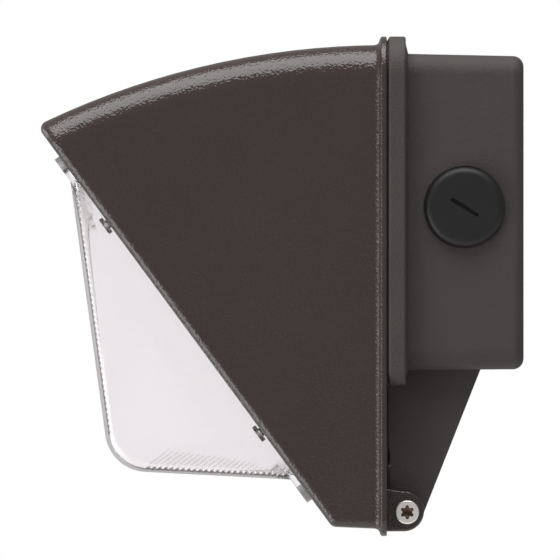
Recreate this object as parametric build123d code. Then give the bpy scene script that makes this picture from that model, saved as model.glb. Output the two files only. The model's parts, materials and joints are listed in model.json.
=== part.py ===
from build123d import *
from math import acos, atan2, cos, hypot, pi, radians, sin, sqrt, tan
import os

# A cut-off wall pack light: a cast hood with a drop lens, hinged at its foot to a cast rear box.
# Millimetres. X is the width, +Y points at the wall, +Z is up, and the origin is the middle of the
# rear box's wall face.

os.makedirs("parts", exist_ok=True)

# ---------------------------------------------------------------- driving dimensions
WALL = 2.8                  # casting wall

# Hood, seen from the side
TOP_ARC_CENTRE = (-50.6, -227.3)
TOP_ARC_RADIUS = 288.4
FACE_POINT = (-123.2, -41.8)            # a point of the diagonal face, half way up
FACE_TILT = 36.4                        # diagonal face, degrees from upright
HOOD_BOTTOM = -115.1                    # at the rim, rising forward
BOTTOM_RISE = 2.5                       # degrees
HOOD_HALF_WIDTH = 105.0                 # at the rim
SIDE_DRAFT = 1.5                        # degrees, each side
TOP_FILLET = 11.0
BOTTOM_FILLET = 3.0
FACE_FILLET = 3.0

# Rims and the parting between them
RIM_HALF_WIDTH = 108.0
RIM_TOP = 64.2
FRONT_RIM_BOTTOM = -117.7
REAR_RIM_BOTTOM = -62.8
RIM_TOP_RADIUS, RIM_LOW_RADIUS = 14.0, 6.0
RIM_FRONT, RIM_BACK = -52.2, -49.8
RIM_COVE, RIM_FRONT_ROUND, RIM_BACK_ROUND = 2.3, 0.9, 0.6
REAR_RIM_FRONT, REAR_RIM_BACK = -49.2, -42.9
REAR_RIM_ROOT = -41.9                   # where the rim's sloping back ends, inside the box's walls
RIM_SLOPE_SINK = 0.35

# Rear box
BOX_HALF_WIDTH = 102.0
BOX_TOP, BOX_BOTTOM = 57.9, -57.3
BOX_CORNER = 7.0
BOX_DRAFT = 1.2                         # degrees
BACK_EDGE_RADIUS = 3.9
BACK_WALL = 3.0
GASKET_INSET, GASKET_WIDTH, GASKET_DEPTH = 1.3, 2.8, 2.4
GASKET_SLACK = 0.1
REAR_RIM_ROUND, REAR_RIM_BREAK = 0.9, 0.9
BOX_SCREW_BOSS, BOX_SCREW_DEPTH = 5.2, 5.6

# Hinge
HINGE_Y, HINGE_Z = -42.4, -109.0
GUSSET_INNER, GUSSET_OUTER = 84.0, 90.0
GUSSET_END_RADIUS = 5.8
GUSSET_TOP_BACK = -14.6                 # where the web's rear edge leaves the box
WASHER_THICK = 1.0
EAR_INNER, EAR_OUTER = 91.1, 97.0
EAR_Y, EAR_Z = -43.6, -108.7            # middle of the ear's round end, off the bolt's axis
EAR_RADIUS, EAR_ROUND, EAR_ROOT_RISE = 7.35, 0.9, 1.0
WASHER_RADIUS = 5.6
BOLT_HEAD_RADIUS, BOLT_HEAD_HEIGHT, BOLT_HEAD_ROUND = 4.3, 4.6, 0.5
SHOULDER_RADIUS, EAR_BORE = 3.0, 3.05
BOLT_THREAD_RADIUS, BOLT_BORE, BOLT_END_GAP = 2.5, 2.55, 3.0
GUSSET_BOSS = 4.0                       # how far the bearing stands inward of its web
LOBE_CIRCLE, LOBE_RADIUS, LOBE_ROOT, LOBE_DEPTH = 1.95, 0.6, 1.85, 2.2
LOBE_POINT = 0.9                        # depth of the recess's cone below its lobes

# Conduit entries
ENTRY_Y, ENTRY_Z = -21.5, 2.0
ENTRY_RADIUS = 10.5
ENTRY_HUB_RADIUS, ENTRY_HUB_INNER = 14.5, 88.0
PLUG_HEAD_RADIUS, PLUG_HEAD_HEIGHT = 14.6, 4.4
PLUG_SEAT = 101.2                       # X of the face that a plug's head rests on
PLUG_SEAL_RADIUS, PLUG_SEAL_THICK = 13.0, 1.2
PLUG_SHANK, PLUG_WALL, PLUG_FLOOR = 10.0, 2.2, 1.5
PLUG_DOME = 2.6
SLOT_LENGTH, SLOT_WIDTH, SLOT_ANGLE, SLOT_DEPTH = 11.7, 1.4, -31.8, 1.6

# Wall-side holes
WIRE_ENTRY_Z = 20.0
WIRE_ENTRY_RADIUS = 11.1
JUNCTION_SPACING = 88.9
ANCHOR_X, ANCHOR_Z = 150.0, 76.0
MOUNT_HOLE_RADIUS = 2.8

# Closing screws
SCREW_X, SCREW_Z = 60.0, 55.8
SCREW_SEAT_Y = -64.0
SCREW_HEAD_RADIUS, SCREW_HEAD_HEIGHT = 4.1, 5.0
SCREW_SHANK_RADIUS = 2.5
SCREW_TIP_Y = -44.5
TROUGH_RADIUS, TROUGH_WALL = 5.25, 2.6
SCREW_BORE_GAP = 0.3
SCREW_HEX, SCREW_HEX_FLOOR = 2.0, 2.2

# LED compartment, behind the diagonal face (v up the face, d outward from it)
POCKET_HALF_X, POCKET_HALF_V, POCKET_DEPTH = 86.0, 69.0, 13.8
PARTITION = 3.0
POCKET_WALL = 7.0
FIN_COUNT, FIN_PITCH, FIN_HALF_THICK, FIN_HEIGHT = 11, 15.0, 1.1, 9.0
FLANGE_HALF_X, FLANGE_LOW, FLANGE_HIGH, FLANGE_THICK = 98.0, -77.8, 77.5, 2.1
LENS_SEAT, LENS_SEAT_RADIUS = 0.6, 3.3   # sunk seats of the lens screws' heads
LENS_GROOVE = 1.5                       # seal groove, from the pocket's edge
SEAL_WIDTH, SEAL_DEPTH = 2.5, 2.0
LENS_SCREW_X, LENS_SCREW_V, LENS_SCREW_LENGTH = 94.0, 47.0, 8.0
LENS_BOSS_RADIUS, LENS_BOSS_DEPTH, LENS_HOLE_DEPTH = 4.5, 12.0, 8.5
LENS_WALL = 2.0
LENS_HALF_WIDTH = 89.5
LENS_DRAFT = 2.0                        # degrees, each side
LENS_TOP_V, LENS_LOW_V = 71.6, -69.1    # outside of the front wall and of the floor, at the flange
LENS_FRONT_TILT = 7.8                   # degrees from upright
LENS_FLOOR_RISE = 3.0                   # degrees, rising forward
LENS_CORNER, LENS_SIDE_ROUND = 15.3, 5.0
PAD_THICK = 0.3
BOARD_HALF_X, BOARD_HALF_V, BOARD_THICK = 72.0, 58.0, 1.6
BOARD_BACK = -POCKET_DEPTH + PAD_THICK
BOARD_FRONT = BOARD_BACK + BOARD_THICK
BOARD_SCREW_X, BOARD_SCREW_V = 68.0, 54.0
BOARD_HOLE_FLOOR = 0.6                  # metal left under the board's blind holes
CHIP_ROWS, CHIP_COLUMNS, CHIP_PITCH = 8, 10, 10.5
CHIP_SIZE, CHIP_HEIGHT, CHIP_WINDOW = 3.0, 0.7, 4.6
CHIP_LIT_RADIUS, CHIP_LIT_DEPTH = 1.05, 0.1
TRAY_HALF_X, TRAY_HALF_V = 56.0, 50.0   # the reflector's flat floor
TRAY_MOUTH_X, TRAY_MOUTH_V = 82.0, 65.5
TRAY_LIP_TOP, TRAY_SHEET = -0.9, 1.0
REFLECTOR_SCREW_V = 46.0

# Driver compartment, in the hood's rear
DRIVER_V = 24.0
DRIVER_HALF_X, DRIVER_HALF_V, DRIVER_HEIGHT = 58.0, 27.0, 26.0
DRIVER_FOOT_X = 68.0
DRIVER_POSTS = [(63.5, DRIVER_V + 18.0), (63.5, DRIVER_V - 18.0)]
DRIVER_POST_END = -(POCKET_DEPTH + PARTITION + 5.0)
DRIVER_SHEET, DRIVER_LID, DRIVER_CORNER = 1.5, 1.2, 3.0
DRIVER_TOP = DRIVER_POST_END - DRIVER_SHEET     # the foot plate's rear face
DRIVER_BACK = DRIVER_TOP - DRIVER_HEIGHT
DRIVER_V_SPAN = (DRIVER_V - DRIVER_HALF_V, DRIVER_V + DRIVER_HALF_V)
POST_RADIUS, POST_HOLE_DEPTH = 4.0, 6.0
GROMMET_X, GROMMET_RADIUS, GROMMET_FLANGE = 80.0, 4.4, 5.2
BOARD_LEAD_D = -10.6                    # height of the board's leads in the LED compartment
BOARD_LEAD_LOW_D = -36.0                # and behind the partition, at the driver
BOARD_LEAD_RADIUS, BOARD_LEAD_PITCH, BOARD_LEAD_BEND = 0.8, 4.0, 4.8
GROMMET_BORE = 3.2
CONNECTOR_X, CONNECTOR_HALF_V, CONNECTOR_HEIGHT = (63.5, 70.5), 4.6, 2.5

# Back cover of the hood, and what it carries in the splice space
COVER_SEAT = RIM_BACK - 2.0             # end of the hood's wall, inside the rim's lip
COVER_FRONT = RIM_BACK - 1.2
COVER_HALF_WIDTH, COVER_TOP, COVER_BOTTOM = 104.8, 61.0, -96.8
COVER_GAP, COVER_LAND = 0.2, 2.4
COVER_CORNER, COVER_LOW_CORNER = RIM_TOP_RADIUS - 3, 3.8
COVER_SCREWS = [(93.0, 40.0), (93.0, -25.0), (70.0, -90.0)]
COVER_BOSS_RADIUS, COVER_RIB_HALF = 4.2, 1.2
COVER_COLLAR = 2.5                      # how far the pulled collars stand in
BEAM_TOP = -99.5                        # top of the cored-out hinge beam across the foot
BEAM_LOW = -112.5
SUPPLY_X, SUPPLY_Z, SUPPLY_PITCH = -78.0, -2.5, 5.0
SUPPLY_RADIUS, SUPPLY_FLANGE = 5.4, 6.6
SUPPLY_LEAD_RADIUS, SUPPLY_LEAD_BEND, GROUND_LEAD_BEND = 1.1, 6.6, 6.0
SUPPLY_LEAD_Y = -108.5                  # where the driver's own leads leave it
BLOCK_X, BLOCK_Z = (-53.0, -35.0), (-21.0, 11.0)
BLOCK_HEIGHT, BLOCK_ENTRY_Y, BLOCK_EAR = 12.0, -41.5, 4.0
BLOCK_TOP = RIM_BACK + BLOCK_HEIGHT
BLOCK_MIDDLE = (BLOCK_X[0] + BLOCK_X[1]) / 2
BLOCK_POLES, BLOCK_POLE_MARGIN, BLOCK_SCREW_SPREAD = (0.0, -5.0, -10.0), 3.2, 4.0
BLOCK_WELL_RADIUS, BLOCK_WELL_DEPTH = 1.9, 3.5
GROUND_X, GROUND_Z = -65.0, -42.0       # ground screw on the cover
RING_THICK, RING_RADIUS, RING_BORE = 0.8, 4.0, 2.15
CRIMP_Y, CRIMP_RADIUS = RIM_BACK + 2.1, 1.6
CRIMP_Z = (GROUND_Z + 4.8, GROUND_Z + 10.4)
BOX_GROUND_X, BOX_GROUND_Y, BOX_GROUND_Z = -70.0, -12.0, -20.0
BOX_GROUND_BOSS = 5.0

# Closing screws' small parts
SEAL_SINK = 0.9
CLIP_RADIUS, CLIP_CLEARANCE = 3.7, 0.4
CLIP_FRONT, CLIP_THICK = -52.8, 0.8
SCREW_FLOOR_BACK = -61.0

# Small screws: radii of the tapped hole, the clearance hole, the shank and the head, and the head's height
M3_TAPPED, M3_CLEAR, M3_SHANK, M3_HEAD, M3_HEAD_HEIGHT = 1.35, 1.7, 1.3, 2.75, 1.8
M2_TAPPED, M2_CLEAR, M2_SHANK, M2_HEAD, M2_HEAD_HEIGHT = 1.1, 1.4, 1.05, 2.3, 1.6
M4_TAPPED, M4_SHANK = 1.95, 1.9
HEAD_DOME, CROSS_LENGTH, CROSS_WIDTH, CROSS_FLOOR = 0.6, 1.1, 0.26, 0.45    # shares of a pan head

# ---------------------------------------------------------------- helpers
TILT = radians(FACE_TILT)
UP = (-sin(TILT), cos(TILT))            # (Y, Z) up the diagonal face
OUT = (-cos(TILT), -sin(TILT))          # (Y, Z) out of it
FACE = Plane(origin=(0, *FACE_POINT), x_dir=(1, 0, 0), z_dir=(0, *OUT))
STANDING = (Align.CENTER, Align.CENTER, Align.MIN)      # a form's base on z = 0
HANGING = (Align.CENTER, Align.CENTER, Align.MAX)       # a form's top on z = 0


def face_yz(v, d):
    """(Y, Z) of the point v up the diagonal face and d out of it."""
    return (FACE_POINT[0] + v * UP[0] + d * OUT[0], FACE_POINT[1] + v * UP[1] + d * OUT[1])


def at_y(y):
    """Plane facing -Y at a depth y, with local (x, y) = (X, Z)."""
    return Plane.XZ.offset(-y)


def slab(sketch, y_front, y_back):
    """An (X, Z) outline made solid between two depths."""
    return extrude(at_y(y_back) * sketch, amount=y_back - y_front)


def span_box(x, y, z):
    """A box from three (low, high) pairs."""
    size = [high - low for low, high in (x, y, z)]
    middle = [(high + low) / 2 for low, high in (x, y, z)]
    return Pos(*middle) * Box(*size)


def face_box(x, v, d):
    """A box in the diagonal face's own directions, from three (low, high) pairs."""
    return FACE * span_box(x, v, d)


def rod_x(radius, x_low, x_high, y, z):
    return Pos(x_low, y, z) * Rot(0, 90, 0) * Cylinder(
        radius, x_high - x_low, align=STANDING)


def rod_y(radius, x, z, y_low, y_high):
    return Pos(x, y_low, z) * Rot(-90, 0, 0) * Cylinder(
        radius, y_high - y_low, align=STANDING)


def rod_face(radius, x, v, d_low, d_high):
    return FACE * Pos(x, v, d_low) * Cylinder(
        radius, d_high - d_low, align=STANDING)


def outline(half_width, top, bottom, top_radius, low_radius):
    """A rectangle in (X, Z) with its own radii above and below."""
    sheet = Pos(0, (top + bottom) / 2) * Rectangle(2 * half_width, top - bottom)
    sheet = fillet(sheet.vertices().group_by(Axis.Y)[-1], top_radius)
    return fillet(sheet.vertices().group_by(Axis.Y)[0], low_radius)


def mirrored(piece):
    """The piece and its mirror image in the middle plane."""
    return [piece, mirror(piece, about=Plane.YZ)]


def group(pieces):
    """Separate solids kept together in one node."""
    solids = [solid for piece in pieces for solid in piece.solids()]
    return Compound(children=solids)


def write(name, shape):
    export_step(shape, f"parts/{name}.step")


def pan_head(radius, height):
    """A domed screw head standing on z = 0, with a cross recess."""
    head = Cylinder(radius, height, align=STANDING)
    head = fillet(head.edges().sort_by(Axis.Z)[-1], height * HEAD_DOME)
    for turn in (0, 90):
        bar = Box(radius * CROSS_LENGTH, radius * CROSS_WIDTH, height, align=STANDING)
        head -= Pos(0, 0, height * CROSS_FLOOR) * Rot(0, 0, turn) * bar
    return head


def m3_screw(length):
    """A pan head screw along z, its seat at z = 0."""
    return pan_head(M3_HEAD, M3_HEAD_HEIGHT) + Cylinder(M3_SHANK, length, align=HANGING)


def m2_screw(length):
    return pan_head(M2_HEAD, M2_HEAD_HEIGHT) + Cylinder(M2_SHANK, length, align=HANGING)


# ---------------------------------------------------------------- hood form
def top_z(y, inset=0.0):
    """Height of the hood's arched top at a depth y."""
    return TOP_ARC_CENTRE[1] + sqrt((TOP_ARC_RADIUS - inset) ** 2 - (y - TOP_ARC_CENTRE[0]) ** 2)


def tip_point(arc_inset, face_inset):
    """Where the arched top meets the diagonal face, found along the face's line."""
    start = face_yz(0, -face_inset)
    radius = TOP_ARC_RADIUS - arc_inset
    gap = (start[0] - TOP_ARC_CENTRE[0], start[1] - TOP_ARC_CENTRE[1])
    along = gap[0] * UP[0] + gap[1] * UP[1]
    reach = -along + sqrt(along ** 2 - (hypot(*gap) ** 2 - radius ** 2))
    return face_yz(reach, -face_inset)


def low_point(face_inset, bottom_inset):
    """Where the diagonal face meets the hood's underside."""
    rise = tan(radians(BOTTOM_RISE))
    start = face_yz(0, -face_inset)
    bottom_at_start = HOOD_BOTTOM + bottom_inset + rise * (RIM_FRONT - start[0])
    reach = (bottom_at_start - start[1]) / (UP[1] + rise * UP[0])
    return face_yz(reach, -face_inset)


def hood_form(inset=0.0, back=RIM_BACK, top_fillet=TOP_FILLET, bottom_fillet=BOTTOM_FILLET):
    """The hood's solid form, or its inside when inset by a wall."""
    tip, low = tip_point(inset, inset), low_point(inset, inset)
    back_top = (back, top_z(back, inset))
    middle_y = (back + tip[0]) / 2
    back_low = (back, HOOD_BOTTOM + inset - tan(radians(BOTTOM_RISE)) * (back - RIM_FRONT))
    arc = ThreePointArc(back_top, (middle_y, top_z(middle_y, inset)), tip)
    side = make_face(arc + Polyline(tip, low, back_low, back_top))
    form = extrude(Plane.YZ * side, amount=HOOD_HALF_WIDTH + 5, both=True)

    front = tip[0] - 10.0               # ahead of the tip, so that the plan cuts all of it
    half_back = HOOD_HALF_WIDTH - inset
    half_front = half_back - tan(radians(SIDE_DRAFT)) * (back - front)
    plan = make_face(Polyline((-half_back, back), (half_back, back), (half_front, front),
                              (-half_front, front), (-half_back, back)))
    form &= extrude(plan, amount=2 * TOP_ARC_RADIUS, both=True)

    form = fillet(form.edges().filter_by(GeomType.LINE, reverse=True), top_fillet)
    low_sides = [edge for edge in form.edges().filter_by(GeomType.LINE)
                 if edge.center().Z < low[1] + 1 and abs(edge.center().X) > HOOD_HALF_WIDTH / 2]
    return fillet(low_sides, bottom_fillet)


# ---------------------------------------------------------------- front housing
def face_ring(half_x, half_v, width, d_low, d_high):
    """A rectangular ring on the diagonal face."""
    outer = RectangleRounded(2 * (half_x + width), 2 * (half_v + width), 6)
    inner = RectangleRounded(2 * half_x, 2 * half_v, 6 - width)
    return extrude(FACE.offset(d_low) * (outer - inner), amount=d_high - d_low)


def hinge_ear():
    """One hinge ear of the door, standing back from the rim."""
    start = (RIM_FRONT + RIM_BACK) / 2
    high, low = EAR_Z + EAR_RADIUS, EAR_Z - EAR_RADIUS
    root = (start, high + EAR_ROOT_RISE)
    tab = Pos(EAR_Y, EAR_Z) * Circle(EAR_RADIUS)
    tab += make_face(Polyline(root, (EAR_Y, high), (EAR_Y, low), (start, low), root))
    ear = extrude(Plane.YZ.offset(EAR_INNER) * tab, amount=EAR_OUTER - EAR_INNER)
    outer_rim = ear.faces().sort_by(Axis.X)[-1].edges().filter_by(lambda edge: edge.center().Y > start + 1)
    ear = fillet(outer_rim, EAR_ROUND)
    return ear - rod_x(EAR_BORE, EAR_INNER - 1, EAR_OUTER + 1, HINGE_Y, HINGE_Z)


def corner_places(x, v):
    return [(side * x, level * v) for side in (-1, 1) for level in (-1, 1)]


def lens_screw_places():
    return corner_places(LENS_SCREW_X, LENS_SCREW_V)


def faces_at(body, y):
    """The body's flat faces that lie on a plane across Y."""
    return body.faces().filter_by(Plane.XZ).filter_by(lambda face: abs(face.center().Y - y) < 1e-4)


def with_rim(hood):
    """The hood with the rim round its open rear, which flares out of its walls in a cove."""
    rim = outline(RIM_HALF_WIDTH, RIM_TOP, FRONT_RIM_BOTTOM, RIM_TOP_RADIUS, RIM_LOW_RADIUS)
    body = hood + slab(rim, RIM_FRONT, RIM_BACK)
    body = fillet(faces_at(body, RIM_FRONT)[0].inner_wires()[0].edges(), RIM_COVE)
    back_face = faces_at(body, RIM_BACK).sort_by(SortBy.AREA)[-1]
    body = fillet(back_face.outer_wire().edges(), RIM_BACK_ROUND)
    return fillet(faces_at(body, RIM_FRONT)[0].outer_wire().edges(), RIM_FRONT_ROUND)


def hood_cavity(inside):
    """The space inside the hood, open to the rear, less the walls, bosses, ribs and fins in it."""
    cavity = inside & span_box((-120, 120), (-190, RIM_BACK), (COVER_BOTTOM + COVER_LAND, 80))
    wall = POCKET_DEPTH + PARTITION
    half_x, half_v = POCKET_HALF_X + POCKET_WALL, POCKET_HALF_V + POCKET_WALL
    cavity -= face_box((-half_x, half_x), (-half_v, half_v), (-wall, 0))
    for x, v in lens_screw_places():
        cavity -= rod_face(LENS_BOSS_RADIUS, x, v, -LENS_BOSS_DEPTH, 0)
    for side in (-1, 1):
        for x, z in COVER_SCREWS:
            cavity -= rod_y(COVER_BOSS_RADIUS, side * x, z, -130, COVER_FRONT)
        for x, z in COVER_SCREWS[:2]:
            rib_x = sorted((side * x, side * (HOOD_HALF_WIDTH + 5)))
            cavity -= span_box(rib_x, (-130, COVER_SEAT), (z - COVER_RIB_HALF, z + COVER_RIB_HALF))
        for x, v in DRIVER_POSTS:
            cavity -= rod_face(POST_RADIUS, side * x, v, DRIVER_POST_END, 0)
        cavity -= rod_y(TROUGH_RADIUS + TROUGH_WALL, side * SCREW_X, SCREW_Z, -135, COVER_SEAT)
    fin_v = (-POCKET_HALF_V - 5, DRIVER_V - DRIVER_HALF_V - 6)
    for index in range(FIN_COUNT):
        middle = (index - (FIN_COUNT - 1) / 2) * FIN_PITCH
        fin_x = (middle - FIN_HALF_THICK, middle + FIN_HALF_THICK)
        cavity -= face_box(fin_x, fin_v, (-wall - FIN_HEIGHT, -wall))
    return cavity


def front_housing_holes():
    """The tapped holes for the lens, cover, driver, board and reflector screws, and the lead grommet's."""
    wall = POCKET_DEPTH + PARTITION
    holes = [rod_face(M3_TAPPED, x, v, -LENS_HOLE_DEPTH, 5) for x, v in lens_screw_places()]
    for side in (-1, 1):
        holes += [rod_y(M3_TAPPED, side * x, z, RIM_BACK - 10, RIM_BACK + 1) for x, z in COVER_SCREWS]
        holes += [rod_face(M3_TAPPED, side * x, v, DRIVER_POST_END - 1, DRIVER_POST_END + POST_HOLE_DEPTH)
                  for x, v in DRIVER_POSTS]
    holes += [rod_face(M2_TAPPED, x, v, BOARD_HOLE_FLOOR - wall, 0) for x, v in board_holes()]
    return holes + [rod_face(GROMMET_RADIUS, GROMMET_X, DRIVER_V, -wall - 1, 0)]


def trough_cuts(side):
    """One closing screw's trough, open to the top, and the stepped bore behind its seat."""
    x = side * SCREW_X
    return [
        rod_y(TROUGH_RADIUS, x, SCREW_Z, -150, SCREW_SEAT_Y),
        span_box((x - TROUGH_RADIUS, x + TROUGH_RADIUS), (-150, SCREW_SEAT_Y), (SCREW_Z, 90)),
        rod_y(SCREW_HEAD_RADIUS, x, SCREW_Z, SCREW_SEAT_Y - 1, SCREW_SEAT_Y + SEAL_SINK),
        rod_y(SCREW_SHANK_RADIUS + SCREW_BORE_GAP, x, SCREW_Z, SCREW_SEAT_Y - 1, RIM_BACK + 1),
        rod_y(CLIP_RADIUS + CLIP_CLEARANCE, x, SCREW_Z, SCREW_FLOOR_BACK, RIM_BACK + 1),
    ]


def front_housing():
    body = hood_form()
    front_face = body.faces().sort_by(Axis((0, 0, 0), (0, *OUT)))[-1]
    body = with_rim(fillet(front_face.outer_wire().edges(), FACE_FILLET))
    for ear in mirrored(hinge_ear()):
        body += ear

    inside = hood_form(WALL, back=RIM_BACK, top_fillet=TOP_FILLET - WALL, bottom_fillet=1.0)
    body -= hood_cavity(inside)
    cover_seat = outline(COVER_HALF_WIDTH + COVER_GAP, COVER_TOP + COVER_GAP, COVER_BOTTOM - COVER_GAP,
                         COVER_CORNER, COVER_LOW_CORNER + COVER_GAP)
    body -= slab(cover_seat, COVER_SEAT, RIM_BACK)
    beam_half = EAR_INNER - 8
    body -= inside & span_box((-beam_half, beam_half), (-100, RIM_BACK + 1), (BEAM_LOW, BEAM_TOP))

    body -= face_box((-POCKET_HALF_X, POCKET_HALF_X), (-POCKET_HALF_V, POCKET_HALF_V), (-POCKET_DEPTH, 5))
    body -= face_ring(POCKET_HALF_X + LENS_GROOVE, POCKET_HALF_V + LENS_GROOVE, SEAL_WIDTH, -SEAL_DEPTH, 5)
    for hole in front_housing_holes() + trough_cuts(-1) + trough_cuts(1):
        body -= hole
    return body


# ---------------------------------------------------------------- lens
def lens_form(inset):
    """The lens bowl's solid form, or its inside when inset by the wall."""
    front_top, floor_back = face_yz(LENS_TOP_V, 0), face_yz(LENS_LOW_V, 0)
    slope_front = tan(radians(LENS_FRONT_TILT))
    slope_floor = tan(radians(LENS_FLOOR_RISE))
    lift = inset / cos(radians(LENS_FLOOR_RISE))
    shift = inset / cos(radians(LENS_FRONT_TILT))

    def front_y(z):
        return front_top[0] + shift + slope_front * (front_top[1] - z)

    def floor_z(y):
        return floor_back[1] + lift + slope_floor * (floor_back[0] - y)

    corner_z = floor_z(front_top[0])
    for _ in range(20):
        corner_z = floor_z(front_y(corner_z))
    corner = (front_y(corner_z), corner_z)
    beyond = 20.0                       # both walls run on behind the flange, and are cut there
    high = (front_y(front_top[1] + beyond), front_top[1] + beyond)
    low = (floor_back[0] + beyond, floor_z(floor_back[0] + beyond))
    side = make_face(Polyline(high, corner, low, high))
    bend = [vertex for vertex in side.vertices()
            if hypot(vertex.X - corner[0], vertex.Y - corner[1]) < 0.5]
    side = fillet(bend, LENS_CORNER - inset)
    form = extrude(Plane.YZ * side, amount=LENS_HALF_WIDTH + 5, both=True)
    depth = 70.0                        # more than the bowl stands out of the face
    half_base = LENS_HALF_WIDTH - inset
    half_front = half_base - tan(radians(LENS_DRAFT)) * depth
    plan = FACE * (Rot(90, 0, 0) * make_face(Polyline(
        (-half_base, 0), (half_base, 0), (half_front, depth), (-half_front, depth), (-half_base, 0))))
    return form & extrude(plan, amount=150, both=True)


def round_lens_sides(form, radius):
    """Rounds the two long bends between the bowl's sides and its front and floor."""
    mouth = form.faces().sort_by(Axis((0, 0, 0), (0, *OUT)))[0].edges()
    sides = [edge for edge in form.edges()
             if abs(edge.center().X) > LENS_HALF_WIDTH - 10 and edge not in mouth]
    return fillet(sides, radius)


def lens():
    bowl = round_lens_sides(lens_form(0), LENS_SIDE_ROUND)
    flange = RectangleRounded(2 * FLANGE_HALF_X, FLANGE_HIGH - FLANGE_LOW, 7)
    flange = Pos(0, (FLANGE_HIGH + FLANGE_LOW) / 2) * flange
    piece = bowl + extrude(FACE * flange, amount=FLANGE_THICK)
    piece -= round_lens_sides(lens_form(LENS_WALL), LENS_SIDE_ROUND - LENS_WALL)
    for x, v in lens_screw_places():
        piece -= rod_face(M3_CLEAR, x, v, -1, 5)
        piece -= rod_face(LENS_SEAT_RADIUS, x, v, LENS_SEAT, 5)
    return piece


def lens_gasket():
    """Silicone cord filling the groove round the LED compartment."""
    start = LENS_GROOVE + GASKET_SLACK
    return face_ring(POCKET_HALF_X + start, POCKET_HALF_V + start, SEAL_WIDTH - 2 * GASKET_SLACK,
                     -SEAL_DEPTH, 0)


def lens_screws():
    screw = m3_screw(LENS_SCREW_LENGTH)
    return group([FACE * Pos(x, v, LENS_SEAT) * screw for x, v in lens_screw_places()])


# ---------------------------------------------------------------- LED compartment
def chip_places():
    return GridLocations(CHIP_PITCH, CHIP_PITCH, CHIP_COLUMNS, CHIP_ROWS)


def drilled(sheet, places, radius):
    """Round holes through a sheet lying on the diagonal face's directions."""
    for x, v in places:
        sheet -= rod_face(radius, x, v, -POCKET_DEPTH - 1, 5)
    return sheet


def reflector_screw_places():
    return [(0, -REFLECTOR_SCREW_V), (0, REFLECTOR_SCREW_V)]


def board_holes():
    return corner_places(BOARD_SCREW_X, BOARD_SCREW_V) + reflector_screw_places()


def thermal_pad():
    half_x, half_v = BOARD_HALF_X - 2, BOARD_HALF_V - 2
    sheet = face_box((-half_x, half_x), (-half_v, half_v), (-POCKET_DEPTH, BOARD_BACK))
    return drilled(sheet, board_holes(), M2_CLEAR + 0.2)


def led_board():
    sheet = face_box((-BOARD_HALF_X, BOARD_HALF_X), (-BOARD_HALF_V, BOARD_HALF_V), (BOARD_BACK, BOARD_FRONT))
    return drilled(sheet, board_holes(), M2_CLEAR)


def led_chips():
    half = CHIP_SIZE / 2
    chip = span_box((-half, half), (-half, half), (BOARD_FRONT, BOARD_FRONT + CHIP_HEIGHT))
    chip -= Pos(0, 0, BOARD_FRONT + CHIP_HEIGHT) * Cylinder(CHIP_LIT_RADIUS, 2 * CHIP_LIT_DEPTH)
    return group([FACE * place * chip for place in chip_places()])


def board_screws():
    screw = m2_screw(4.2)
    places = corner_places(BOARD_SCREW_X, BOARD_SCREW_V)
    return group([FACE * Pos(x, v, BOARD_FRONT) * screw for x, v in places])


def board_lead_offsets():
    return (-BOARD_LEAD_PITCH / 2, BOARD_LEAD_PITCH / 2)


def board_connector():
    """Push-in connector at the board's edge, with a lead entry for each pole."""
    top = BOARD_FRONT + CONNECTOR_HEIGHT
    v_span = (DRIVER_V - CONNECTOR_HALF_V, DRIVER_V + CONNECTOR_HALF_V)
    body = face_box(CONNECTOR_X, v_span, (BOARD_FRONT, top))
    for offset in board_lead_offsets():
        v = DRIVER_V + offset
        body -= face_box((CONNECTOR_X[0] + 1, CONNECTOR_X[0] + 3), (v - 0.8, v + 0.8), (top - 0.7, top + 1))
    return body


def tray_form(shrink):
    """The reflector tray's tapering form, floor to mouth."""
    floor_d, mouth_d = BOARD_FRONT + shrink, TRAY_LIP_TOP + 0.01
    floor = RectangleRounded(2 * (TRAY_HALF_X - shrink), 2 * (TRAY_HALF_V - shrink), 5)
    mouth = RectangleRounded(2 * (TRAY_MOUTH_X - shrink), 2 * (TRAY_MOUTH_V - shrink), 5)
    return loft([FACE.offset(floor_d) * floor, FACE.offset(mouth_d) * mouth])


def reflector():
    tray = tray_form(0)
    lip = RectangleRounded(2 * (POCKET_HALF_X - 0.4), 2 * (POCKET_HALF_V - 0.4), 3)
    tray += extrude(FACE.offset(TRAY_LIP_TOP - TRAY_SHEET) * lip, amount=TRAY_SHEET)
    tray -= tray_form(TRAY_SHEET)
    side = (-CHIP_WINDOW / 2, CHIP_WINDOW / 2)
    window = span_box(side, side, (BOARD_FRONT - 1, BOARD_FRONT + TRAY_SHEET + 1))
    tray -= [FACE * place * window for place in chip_places()]
    return drilled(tray, reflector_screw_places(), M2_CLEAR)


def reflector_screws():
    screw = m2_screw(5.2)
    return group([FACE * Pos(x, v, BOARD_FRONT + TRAY_SHEET) * screw for x, v in reflector_screw_places()])


def flanged_grommet(radius, flange, bore, thickness):
    """A rubber grommet along z; its groove spans a wall between z = 0 and the thickness."""
    lip = 0.9
    rubber = Cylinder(radius - 0.05, thickness, align=STANDING)
    rubber += Cylinder(flange, lip, align=HANGING)
    rubber += Pos(0, 0, thickness) * Cylinder(flange, lip, align=STANDING)
    return rubber - Pos(0, 0, thickness / 2) * bore


def lead_grommet():
    bore = Cylinder(GROMMET_BORE, 20)
    return FACE * Pos(GROMMET_X, DRIVER_V, -POCKET_DEPTH - PARTITION) * flanged_grommet(
        GROMMET_RADIUS, GROMMET_FLANGE, bore, PARTITION)


# ---------------------------------------------------------------- driver
def driver_post_places():
    return [(side * x, v) for side in (-1, 1) for x, v in DRIVER_POSTS]


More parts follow.
